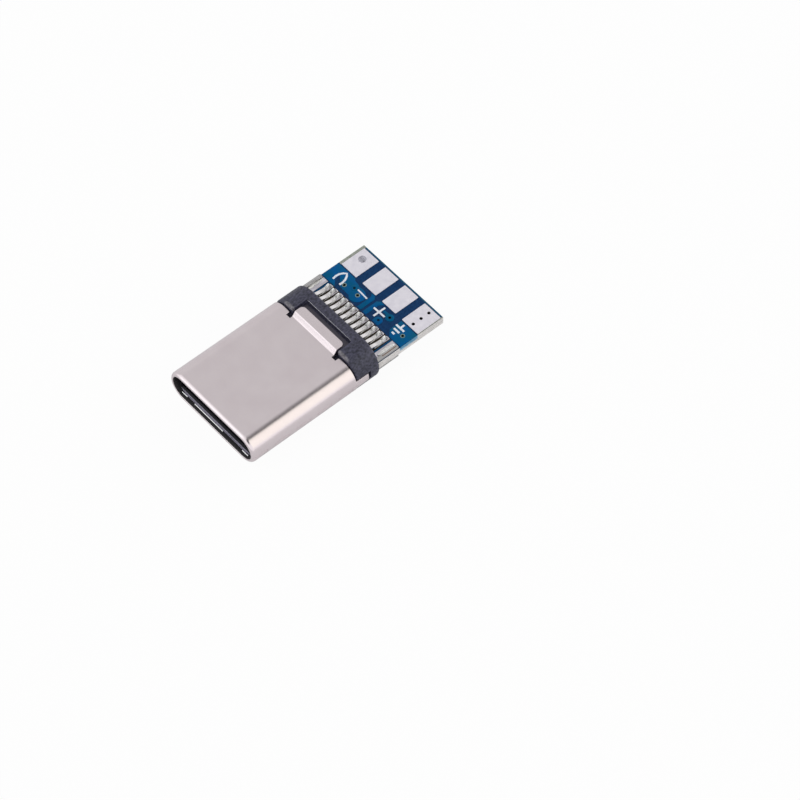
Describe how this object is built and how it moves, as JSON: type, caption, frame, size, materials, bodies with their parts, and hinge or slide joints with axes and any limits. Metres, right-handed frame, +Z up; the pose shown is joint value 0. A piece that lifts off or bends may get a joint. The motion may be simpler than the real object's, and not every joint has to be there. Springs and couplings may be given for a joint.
{
  "type": "usb-c plug with breakout board",
  "caption": "Reversible plug: folded metal shell with sprung contacts, moulded rear housing and a small blue circuit board with wire pads.",
  "frame": {"origin": "under the middle of the plug's bounding box, on the surface it lies on", "axes": "+Y along the plug from the mouth to the rear edge of the board, +X across its width, +Z up through the wire-pad side"},
  "size_m": [0.0082, 0.016, 0.0033],
  "materials": {
    "plated_shell": "satin nickel plate on folded steel sheet",
    "black_housing": "fine matt moulding",
    "black_carrier": "smooth moulding",
    "plated_contacts": "bright plated copper alloy",
    "spring_steel": "bright sheet",
    "blue_board": "blue solder mask on glass-fibre board",
    "tinned_copper": "tinned, soft shine",
    "tan_ceramic": "fired ceramic",
    "resistor_coat": "black overglaze"
  },
  "bodies": {
    "root": {"capacitor_body": "tan_ceramic", "capacitor_end_left": "tinned_copper", "capacitor_end_right": "tinned_copper", "capacitor_pad_left": "tinned_copper", "capacitor_pad_right": "tinned_copper", "carrier_lower": "black_carrier", "carrier_upper": "black_carrier", "circuit_board": "blue_board", "contact_lower_01": "plated_contacts", "contact_lower_02": "plated_contacts", "contact_lower_03": "plated_contacts", "contact_lower_04": "plated_contacts", "contact_lower_05": "plated_contacts", "contact_lower_06": "plated_contacts", "contact_lower_07": "plated_contacts", "contact_lower_08": "plated_contacts", "contact_lower_09": "plated_contacts", "contact_lower_10": "plated_contacts", "contact_lower_11": "plated_contacts", "contact_lower_12": "plated_contacts", "contact_upper_01": "plated_contacts", "contact_upper_02": "plated_contacts", "contact_upper_03": "plated_contacts", "contact_upper_04": "plated_contacts", "contact_upper_05": "plated_contacts", "contact_upper_06": "plated_contacts", "contact_upper_07": "plated_contacts", "contact_upper_08": "plated_contacts", "contact_upper_09": "plated_contacts", "contact_upper_10": "plated_contacts", "contact_upper_11": "plated_contacts", "contact_upper_12": "plated_contacts", "corner_solder_plug": "tinned_copper", "ground_pad_bottom_left": "tinned_copper", "ground_pad_bottom_right": "tinned_copper", "ground_pad_top_left": "tinned_copper", "ground_pad_top_right": "tinned_copper", "ground_spring_lower": "spring_steel", "ground_spring_upper": "spring_steel", "latch_plate": "spring_steel", "rear_housing": "black_housing", "resistor_body": "resistor_coat", "resistor_end_left": "tinned_copper", "resistor_end_right": "tinned_copper", "resistor_pad_left": "tinned_copper", "resistor_pad_right": "tinned_copper", "shell": "plated_shell", "spare_pad": "tinned_copper", "wire_pad_ground": "tinned_copper", "wire_pad_minus": "tinned_copper", "wire_pad_plus": "tinned_copper", "wire_pad_supply": "tinned_copper"}
  },
  "joints": []
}
